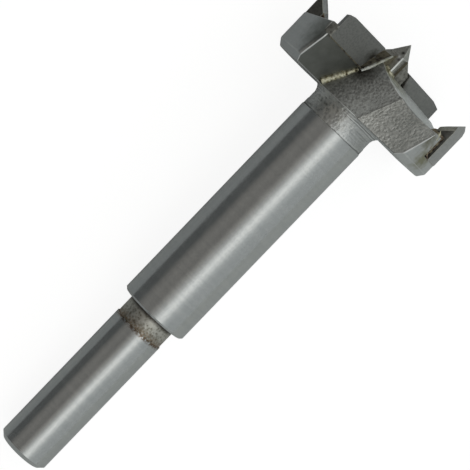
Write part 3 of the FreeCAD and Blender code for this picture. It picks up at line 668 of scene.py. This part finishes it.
def finish_mesh(piece, hardened=False):
    """Plain mesh of a piece with its modifiers applied and its shading set."""
    graph = bpy.context.evaluated_depsgraph_get()
    mesh = bpy.data.meshes.new_from_object(piece.evaluated_get(graph), depsgraph=graph)
    piece.modifiers.clear()
    piece.data = mesh
    if not hardened:
        mesh.shade_smooth()
        mesh.set_sharp_from_angle(angle=math.radians(35))


def dress(piece, finishes, finish_at):
    """Give each face the finish that a rule names for its middle and its normal on the tool."""
    piece.data.materials.clear()
    for finish in finishes:
        piece.data.materials.append(finish)
    for face in piece.data.polygons:
        face.material_index = finishes.index(finish_at(tool_place(face.center), TO_TOOL @ face.normal))


# %% [markdown]
# On the real head the upright edges of the rim are worn most, the edges of the spur pockets are crisp,
# and an edge under braze or inside the seat isn't broken at all. Places on the tool tell them apart.
# The edges could be picked by hand, but a changed model would lose the choice.

# %% Edges of the steel
WORN, BROKEN, CRISP = 0.3, 0.14, 0.06
SEAT_HEIGHT = 6.6
SEAT_REACH = 5.2
BLADE_END, BLADE_HALF = 15.8, 1.7
POCKET_REACH, POCKET_HALF = 14, 4.6
WORN_REACH = 17


def steel_edge(middle, normals):
    """Width of a broken edge: none below the head or under braze, wide and worn on the rim."""
    across = abs(middle.y)
    reach = math.hypot(middle.x, middle.y)
    on_seat_floor = abs(middle.z - SEAT_FLOOR) < 0.1 and across < 0.6
    if middle.z < HEAD_FROM or on_seat_floor:
        return 0.0
    in_seat = reach < SEAT_REACH or (reach > BLADE_END and across < BLADE_HALF)
    if in_seat and middle.z - BACK_FACE > SEAT_HEIGHT:
        return 0.0
    if reach > POCKET_REACH and abs(middle.x) < POCKET_HALF and middle.x * middle.y < 5:
        return CRISP
    upright = max(abs(normal.z) for normal in normals) < 0.5
    return WORN if reach > WORN_REACH and upright else BROKEN


mark_edges(steel, steel_edge)

# %% [markdown]
# Every face of the steel gets a finish by where it lies and which way it looks, as a maker would name
# the surfaces: shank, neck, body and collar by height, then the rim, the seats, the web, the wing tops,
# the gullet walls and the heels. What is left is the hub. A rule does this better than a list of face
# numbers, which change with every change of the solid.

# %% Finishes of the steel by place
STEEL_FINISHES = [ground_steel, rim_steel, relieved_top, hub_skin, heel_skin, gullet_wall, collar_skin,
                  neck_skin, seat_skin, web_skin, worn_edge]
EDGE_OF_PLACE = 0.01
RIM_FROM = 16.2
SEAT_INNER_REACH = 5.4
WEB_REACH, WEB_FROM, WEB_TOP = 4.6, 92.37, 94.05
GULLET_HALF = 2.3
SQUARE_ON = 0.9


def steel_finish(centre, normal):
    """Finish of a steel face, from its middle and its normal on the tool."""
    reach = math.hypot(centre.x, centre.y)
    if centre.z < SHANK_TOP - EDGE_OF_PLACE or SHOULDER < centre.z + EDGE_OF_PLACE < BODY_END:
        return ground_steel
    if centre.z < SHOULDER:
        return neck_skin
    if centre.z < BACK_FACE + 0.05:
        return collar_skin
    if reach > RIM_FROM and (normal.x * centre.x + normal.y * centre.y) / reach > 0.6:
        return rim_steel
    facing_blade = abs(normal.y) > SQUARE_ON and centre.x * normal.y > 0
    beside_blade = abs(normal.x) > 0.8 and -4 < centre.x * centre.y < 0
    if reach < SEAT_INNER_REACH and centre.z > SEAT_FLOOR and (facing_blade or beside_blade):
        return seat_skin
    if reach < WEB_REACH and centre.z > WEB_FROM and (abs(normal.z) < 0.2 or centre.z > WEB_TOP):
        return web_skin
    if normal.z > 0.6:
        return relieved_top
    forward = normal.y if centre.x > 0 else -normal.y
    if forward > SQUARE_ON and abs(centre.y) < GULLET_HALF and abs(centre.x) > 2:
        return gullet_wall
    return heel_skin if abs(normal.x) > SQUARE_ON and normal.z < 0.5 else hub_skin


dress(steel, STEEL_FINISHES, steel_finish)
bevel = break_edges(steel, 2, worn_edge)
bevel.use_clamp_overlap = False
bevel.harden_normals = True
finish_mesh(steel, hardened=True)
hand_over(steel, "steel_body")

# %% [markdown]
# The carbide pieces are ground, so their edges are crisp. But each spur was ground back over its end,
# which leaves a wide flat band there, and the upright edges at the foot of the point are rubbed bright.
# Above its shoulder the point is ground, edges and all. One rule for edges and one for faces serve all
# five, because the place of an edge tells which piece it is on.

# %% Carbide pieces
CARBIDE_FINISHES = [ground_carbide, rake_carbide, side_carbide, point_carbide, worn_edge, honed_band]
POINT_REACH = 3
SPUR_REACH = 10


def carbide_finish_at(centre, normal):
    """Finish of a carbide face: point, rake face, spur end face darkened as painted shade, or the spur's
    ground faces.
    """
    if math.hypot(centre.x, centre.y) < POINT_REACH:
        return point_carbide
    if abs(centre.y) < SPUR_REACH:
        return rake_carbide
    return side_carbide if abs(normal.x) > 0.8 and normal.z < 0.3 else ground_carbide


def carbide_edge(middle, normals):
    """Width of a honed edge: wide where a spur was ground back over its end, and down the point's foot."""
    if math.hypot(middle.x, middle.y) < POINT_REACH:
        return 0.2 if max(abs(normal.z) for normal in normals) < 0.1 else 0.04
    steep = any(normal.z > 0.5 for normal in normals)
    end = any(abs(normal.x) > 0.8 and normal.x * middle.y > 0 for normal in normals)
    return 0.7 if steep and end and abs(middle.y) > SPUR_REACH else 0.06


for node_name, edge_finish in (("centre_point", worn_edge), ("cutting_blade_1", rake_carbide),
                               ("cutting_blade_2", rake_carbide), ("scoring_spur_1", honed_band),
                               ("scoring_spur_2", honed_band)):
    piece = merged_copy(node_name, "ground_" + node_name)
    mark_edges(piece, carbide_edge)
    dress(piece, CARBIDE_FINISHES, carbide_finish_at)
    break_edges(piece, 1, edge_finish)
    finish_mesh(piece)
    for face in piece.data.polygons:
        if node_name == "centre_point" and tool_place(face.center).z > POINT_SHOULDER:
            face.material_index = CARBIDE_FINISHES.index(point_carbide)
    hand_over(piece, node_name)

# %% [markdown]
# The braze in a spur slot froze as it stood, with a sunken, lumpy top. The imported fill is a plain
# solid, so its copy is remeshed into small cubes, smoothed as if melted, and swollen a little by a
# cloud noise. Sculpting would give it one chance form, and three steps can be tuned by number.

# %% Braze in the spur slots


def melt(piece, cube_mm, rounds):
    """Remesh and smooth a piece, so that its corners run as molten braze does."""
    remesh = piece.modifiers.new("melt", "REMESH")
    remesh.mode = "VOXEL"
    remesh.voxel_size = cube_mm * MM
    flow = piece.modifiers.new("flow", "SMOOTH")
    flow.iterations = rounds


for number, _ in BOTH_WINGS:
    piece = merged_copy(f"spur_braze_{number}", f"melted_spur_braze_{number}")
    melt(piece, 0.1, 5)
    lumps = bpy.data.textures.new(f"lumps_{number}", "CLOUDS")
    lumps.noise_scale = 0.9 * MM
    swell = piece.modifiers.new("swell", "DISPLACE")
    swell.texture = lumps
    swell.mid_level = 0.6
    swell.strength = 0.28 * MM
    finish_mesh(piece)
    piece.data.materials.clear()
    piece.data.materials.append(slot_braze)
    hand_over(piece, f"spur_braze_{number}")

# %% [markdown]
# The other braze ran along a corner as a thin wet thread and froze there, thicker here and thinner there.
# A Geometry Nodes tree draws any such thread. This cell makes its named inputs, cuts the path into even
# steps, and gives it a thickness that goes from one radius to the other, with slow waves of noise.

# %% Tree: path and thickness of a thread
thread_tree = bpy.data.node_groups.new("braze_thread", "GeometryNodeTree")
thread_tree.interface.new_socket("Path", in_out="INPUT", socket_type="NodeSocketGeometry")
for label, value in (("Start radius", 0.4), ("End radius", 0.2), ("Lumps", 0.4), ("Seed", 3.0)):
    thread_tree.interface.new_socket(label, in_out="INPUT", socket_type=FLOAT).default_value = value
finish_socket = thread_tree.interface.new_socket("Finish", in_out="INPUT", socket_type="NodeSocketMaterial")
thread_tree.interface.new_socket("Thread", in_out="OUTPUT", socket_type="NodeSocketGeometry")
thread_in = add(thread_tree, "NodeGroupInput")
path_curve = add(thread_tree, "GeometryNodeMeshToCurve")
join(thread_tree, thread_in.outputs["Path"], path_curve.inputs[0])
even = add(thread_tree, "GeometryNodeResampleCurve", mode="LENGTH", inputs={"Length": 0.12 * MM})
join(thread_tree, path_curve.outputs[0], even.inputs["Curve"])
along = add(thread_tree, "GeometryNodeSplineParameter")
radius = add(thread_tree, "ShaderNodeMapRange")
join(thread_tree, along.outputs["Factor"], radius.inputs["Value"])
join(thread_tree, thread_in.outputs["Start radius"], radius.inputs["To Min"])
join(thread_tree, thread_in.outputs["End radius"], radius.inputs["To Max"])


def waves(scale, detail, height):
    """Seeded noise about zero, times a height."""
    noise = add(thread_tree, "ShaderNodeTexNoise", noise_dimensions="4D",
                inputs={"Scale": scale, "Detail": detail})
    join(thread_tree, thread_in.outputs["Seed"], noise.inputs["W"])
    about_zero = math_node(thread_tree, "SUBTRACT", noise.outputs[0], 0.5)
    return math_node(thread_tree, "MULTIPLY", about_zero, height)


uneven = math_node(thread_tree, "ADD", waves(900.0, 2.0, thread_in.outputs["Lumps"]), 1.0)
thickness = math_node(thread_tree, "MULTIPLY", radius.outputs["Result"], uneven)
thread_sockets = thread_tree.interface.items_tree
print("inputs of a thread:", [item.name for item in thread_sockets if item.in_out == "INPUT"])

# %% [markdown]
# A circle swept along the path gives the thread its body, with closed ends. Fine waves then push the
# surface in and out along its normals, because the ripples of frozen braze show in its outline. The tree
# ends by making its result real and giving it its finish.

# %% Tree: body and ripples of a thread
circle = add(thread_tree, "GeometryNodeCurvePrimitiveCircle", inputs={"Resolution": 14, "Radius": MM})
sweep = add(thread_tree, "GeometryNodeCurveToMesh", inputs={"Fill Caps": True})
join(thread_tree, even.outputs["Curve"], sweep.inputs["Curve"])
join(thread_tree, thickness, sweep.inputs["Scale"])
join(thread_tree, circle.outputs["Curve"], sweep.inputs["Profile Curve"])
outward = add(thread_tree, "GeometryNodeInputNormal")
push = add(thread_tree, "ShaderNodeVectorMath", operation="SCALE")
join(thread_tree, outward.outputs[0], push.inputs[0])
join(thread_tree, waves(2300.0, 3.0, 0.3 * MM), push.inputs["Scale"])
rippled = add(thread_tree, "GeometryNodeSetPosition")
join(thread_tree, sweep.outputs[0], rippled.inputs["Geometry"])
join(thread_tree, push.outputs[0], rippled.inputs["Offset"])
real = add(thread_tree, "GeometryNodeRealizeInstances")
join(thread_tree, rippled.outputs[0], real.inputs[0])
finished = add(thread_tree, "GeometryNodeSetMaterial")
join(thread_tree, real.outputs[0], finished.inputs["Geometry"])
join(thread_tree, thread_in.outputs["Finish"], finished.inputs["Material"])
join(thread_tree, finished.outputs[0], add(thread_tree, "NodeGroupOutput").inputs[0])
print("nodes in the thread tree:", len(thread_tree.nodes))

# %% [markdown]
# A path becomes a thread in three steps: its places are joined by plain edges, the tree is put on it with
# the values asked for, and the result is taken out as plain mesh. It could stay a live modifier.

# %% Helper for a thread of braze


def braze_thread(name, path, finish, **values):
    """Thread of braze along a path given in millimetres on the tool."""
    mesh = bpy.data.meshes.new(name)
    steps = [(start, start + 1) for start in range(len(path) - 1)]
    mesh.from_pydata([scene_place(*point) for point in path], steps, [])
    piece = new_piece(name, mesh)
    thread = piece.modifiers.new("thread", "NODES")
    thread.node_group = thread_tree
    for item in thread_sockets:
        label = item.name.replace(" ", "_")
        if item.in_out == "INPUT" and label in values:
            thread[item.identifier] = values[label]
    thread[finish_socket.identifier] = finish
    finish_mesh(piece)
    return piece


def on_side(path, side):
    """Path on the first wing, or turned half round the axis for the second."""
    return [(side * x, side * y, BACK_FACE + height) for x, y, height in path]


# %% [markdown]
# Below each blade a bead of yellowish braze fills the corner between the gullet wall and the heel of
# the wing. It is the thickest thread, and it thins towards the seat. Each one stands for the plain bead
# that was packed. It could be modelled as a fillet, but braze laid by hand is never so even.

# %% Braze in the gullet corners
GULLET_THREAD = [(8.5, -1.93, 0.3), (7.2, -1.4, 2.65), (6.1, -0.93, 4.6), (5.2, -0.55, 6.3)]

for number, side in BOTH_WINGS:
    piece = braze_thread(f"gullet_thread_{number}", on_side(GULLET_THREAD, side), braze,
                         Start_radius=0.8, End_radius=0.6, Lumps=1.6, Seed=3.0 + number)
    hand_over(piece, f"blade_braze_{number}")

# %% [markdown]
# Four thin threads belong to each wing and are too small to be solids of their own: the bright ridge that
# wear left at the inner end of the seat, a dark thread along the foot of the blade that is painted shadow
# for the shade under the blade, and the braze that ran out of the spur slot, first as a drip and then as a
# dull run down the rim.

# %% Thin threads and a painted shadow
SEAT_RIDGE = [(4.78, -0.05, 6.5), (4.45, 0.15, 7.4), (3.9, 0.38, 8.7), (3.3, 0.52, 10.0), (2.7, 0.62, 11.3),
              (2.2, 0.66, 12.1)]
FOOT_SHADOW = [(5.3, -0.25, 6.76), (16.7, -0.25, 6.76)]
SPUR_DRIP = [(-1.0, 17.05, 8.3), (-1.2, 17.12, 7.9), (-1.5, 17.12, 7.3), (-1.75, 17.1, 6.7)]
SPUR_RUN = [(-1.85, 17.12, 5.6), (-1.95, 17.12, 5.2), (-2.5, 17.05, 4.1), (-3.4, 16.9, 3.5),
            (-4.2, 16.7, 3.2)]

for number, side in BOTH_WINGS:
    ridge = braze_thread(f"seat_ridge_{number}", on_side(SEAT_RIDGE, side), relieved_top,
                         Start_radius=0.4, End_radius=0.22, Lumps=1.0, Seed=11.0 + number)
    ride_along(ridge)
    # Painted shadow: a dark thread under the foot of the blade stands for the shadow the blade casts.
    foot_shadow = braze_thread(f"foot_seam_{number}", on_side(FOOT_SHADOW, side), seat_skin,
                        Start_radius=0.13, End_radius=0.1, Lumps=0.8, Seed=17.0 + number)
    ride_along(foot_shadow)
    drip = braze_thread(f"spur_drip_{number}", on_side(SPUR_DRIP, -side), braze,
                        Start_radius=0.2, End_radius=0.24, Lumps=4.0, Seed=23.0 + number)
    ride_along(drip)
    run = braze_thread(f"spur_run_{number}", on_side(SPUR_RUN, -side), slot_braze,
                       Start_radius=0.14, End_radius=0.24, Lumps=4.0, Seed=29.0 + number)
    ride_along(run)

# %% [markdown]
# The outer end of each blade is bedded in a burnt filler. A small leaning block is enough for its form,
# and melting it, as the braze in the slots was melted, takes its corners away.

# %% Fill at the outer end of each blade
FILL_OUTLINE = ((16.62, -0.02), (15.95, -1.34), (17.28, -1.4), (17.02, -0.06))
FILL_FROM, FILL_TO = 6.8, 9.1

for number, side in BOTH_WINGS:
    work = bmesh.new()
    for height in (FILL_FROM, FILL_TO):
        for x, y in FILL_OUTLINE:
            work.verts.new(scene_place(side * x, side * y, BACK_FACE + height))
    bmesh.ops.convex_hull(work, input=work.verts)
    mesh = bpy.data.meshes.new(f"blade_end_fill_{number}")
    work.to_mesh(mesh)
    work.free()
    piece = new_piece(mesh.name, mesh)
    melt(piece, 0.08, 4)
    finish_mesh(piece)
    piece.data.materials.clear()
    piece.data.materials.append(web_skin)
    ride_along(piece)

# %% [markdown]
# Braze rose round the foot of the point and froze as a ragged ring, half of it on each side of the web.
# Its height isn't drawn: rays sent down along the axis find the steel under each place of the path, so
# the thread lies on the metal wherever that is. Places on top of the web are left out.

# %% Rings round the foot of the point
POINT_TURN = 14
RING_REACH = 1.55
RING_CORNER = 2.0
RING_FROM, RING_TO, RING_STEP = 24, 118, 4
RING_LIFT = 0.05
ABOVE_TOOL = 100.0
WEB_LEVEL = 10.9
steel_mesh = frame["nodes"]["steel_body"].data
steel_surface = BVHTree.FromPolygons([vertex.co for vertex in steel_mesh.vertices],
                                     [face.vertices[:] for face in steel_mesh.polygons])


def ring_path(side):
    """Places on the steel, in millimetres, round one side of the foot of the point."""
    path = []
    for step in range(RING_FROM, RING_TO, RING_STEP):
        angle = math.radians(step)
        across = math.radians(step - POINT_TURN)
        reach = min(RING_REACH / max(abs(math.cos(across)), abs(math.sin(across))), RING_CORNER)
        x, y = side * reach * math.cos(angle), side * reach * math.sin(angle)
        place = steel_surface.ray_cast(scene_place(x, y, ABOVE_TOOL), -TOOL_AXIS)[0]
        if place and tool_place(place).z < BACK_FACE + WEB_LEVEL:
            path.append((x, y, tool_place(place).z + RING_LIFT))
    return path


for number, side in BOTH_WINGS:
    path = ring_path(side)
    print("ring", number, "places", len(path))
    piece = braze_thread(f"point_ring_{number}", path, braze, Start_radius=0.36, End_radius=0.32,
                         Lumps=1.0, Seed=6.0 + number)
    hand_over(piece, f"point_braze_{number}")

# %% [markdown]
# The floor is a plain pale sheet. Seen by the camera it is nearly white. What the steel mirrors of it is
# greyer, and greyest on one side, where the tool's shadow is painted into its colour. So a mixer shows one
# shader to the camera and the other to every other ray.

# %% Floor
HALF = 1.5
floor_mesh = bpy.data.meshes.new("floor")
floor_mesh.from_pydata([(-HALF, -HALF, 0), (HALF, -HALF, 0), (HALF, HALF, 0), (-HALF, HALF, 0)], [],
                       [(0, 1, 2, 3)])
new_piece("floor", floor_mesh)
floor_paint, tree, shader = new_material("floor_paint", (0.66, 0.66, 0.66), 0.0, 0.9, 0.2)
floor_place = add(tree, "ShaderNodeTexCoord")
floor_parts = add(tree, "ShaderNodeSeparateXYZ")
join(tree, floor_place.outputs["Object"], floor_parts.inputs[0])
# Painted shadow: the floor's colour for reflections darkens towards +Y, the side the tool shades.
shaded_side_share = to_range(tree, floor_parts.outputs["Y"], 1.0, 0.0, -0.03, 0.03)
floor_with_painted_shade = blend_color(tree, shaded_side_share, (0.6, 0.625, 0.64), (0.93, 0.96, 0.955))
join(tree, floor_with_painted_shade, shader.inputs["Base Color"])
glow = add(tree, "ShaderNodeEmission", inputs={"Color": (1, 1, 1, 1), "Strength": 0.88})
sheet = add(tree, "ShaderNodeBsdfDiffuse", inputs={"Color": (0.35, 0.35, 0.35, 1)})
lifted = add(tree, "ShaderNodeAddShader")
join(tree, glow.outputs[0], lifted.inputs[0])
join(tree, sheet.outputs[0], lifted.inputs[1])
seen = add(tree, "ShaderNodeLightPath")
mixed = add(tree, "ShaderNodeMixShader")
join(tree, seen.outputs["Is Camera Ray"], mixed.inputs[0])
join(tree, shader.outputs[0], mixed.inputs[1])
join(tree, lifted.outputs[0], mixed.inputs[2])
join(tree, mixed.outputs[0], tree.nodes["Material Output"].inputs["Surface"])
floor_mesh.materials.append(floor_paint)
print("floor:", 2 * HALF, "m wide")

# %% [markdown]
# Steel shows its room. The photograph's long highlight, its grey right side and the dark line on its left
# side are the same all along the tool, so the room is a tent: its brightness depends only on the angle
# round the tool, from the left horizon, over the top, to the right horizon. Each row below is an angle, a
# brightness and a tint.

# %% Light tent
COOL, WARM, PLAIN = (0.965, 1.015, 1.015), (1.025, 1.0, 0.95), (0.99, 1.01, 0.99)
ROOM = ((-180, 0.27, COOL), (-97, 0.27, COOL), (-88, 0.1, COOL), (-62, 0.1, COOL), (-50, 0.18, WARM),
        (-36, 0.22, WARM), (-12, 0.18, WARM), (0, 0.31, WARM), (12, 0.48, PLAIN), (20, 0.6, PLAIN),
        (29, 0.86, PLAIN), (38, 0.62, PLAIN), (48, 0.53, COOL), (62, 0.42, COOL), (90, 0.42, COOL),
        (180, 0.42, COOL))
world = bpy.data.worlds.new("light_tent")
bpy.context.scene.world = world
world.use_nodes = True
tree = world.node_tree
direction = add(tree, "ShaderNodeTexCoord")
parts = add(tree, "ShaderNodeSeparateXYZ")
join(tree, direction.outputs["Generated"], parts.inputs[0])
right = math_node(tree, "MULTIPLY", parts.outputs["Y"], -1.0)
angle = math_node(tree, "ARCTAN2", right, parts.outputs["Z"])
turn = to_range(tree, angle, 0.0, 1.0, -math.pi, math.pi)
stops = [((degrees + 180) / 360, tuple(value * share for share in tint)) for degrees, value, tint in ROOM]
join(tree, ramp(tree, turn, stops), tree.nodes["Background"].inputs["Color"])
tree.nodes["Background"].inputs["Strength"].default_value = 1.0
print("light tent:", len(ROOM), "angles, brightest", max(value for _, value, _ in ROOM))

# %% [markdown]
# One large, faint softbox hangs high on one side and faces the tool. It gives the ground faces a soft
# gradient that the tent, which is even all along the tool, can't give. A second tent would be more to
# set up than one lamp.

# %% Softbox
softbox_data = bpy.data.lights.new("key_light", "AREA")
softbox_data.shape = "RECTANGLE"
softbox_data.size = 0.9
softbox_data.size_y = 0.5
softbox_data.energy = 0.25
softbox = bpy.data.objects.new("key_light", softbox_data)
bpy.context.collection.objects.link(softbox)
softbox.location = (0.0, -0.48, 0.87)
softbox.rotation_euler = (Vector((0.0, 0.0, 0.01)) - softbox.location).to_track_quat("-Z", "Y").to_euler()
print("softbox:", round(softbox_data.size, 2), "by", round(softbox_data.size_y, 2), "m")

# %% [markdown]
# The camera looks almost straight down from about 0.4 m, through a long lens, as in the photograph.
# Three vectors say it all: where it is, which way it looks back from the tool, and which way the
# picture's top is. Three turning angles would do as well, but they are harder to picture.

# %% Camera
CAMERA_PLACE = Vector((-0.00798968, -0.00627251, 0.39484912))
CAMERA_BACK = Vector((-0.03230375, -0.01421205, 0.99937705)).normalized()
PICTURE_TOP = Vector((0.71962322, 0.69353518, 0.03312372))
LENS = 168.51
camera_data = bpy.data.cameras.new("camera")
camera_data.lens = LENS
camera_data.sensor_width = 36.0
camera_data.clip_start = 0.01
camera = bpy.data.objects.new("camera", camera_data)
bpy.context.collection.objects.link(camera)
picture_right = PICTURE_TOP.cross(CAMERA_BACK).normalized()
picture_up = CAMERA_BACK.cross(picture_right)
turned = Matrix((picture_right, picture_up, CAMERA_BACK)).transposed().to_4x4()
camera.matrix_world = Matrix.Translation(CAMERA_PLACE) @ turned
bpy.context.scene.camera = camera
bpy.context.scene.view_settings.view_transform = "Standard"
print("camera:", LENS, "mm lens,", round(CAMERA_PLACE.z, 3), "m above the floor")
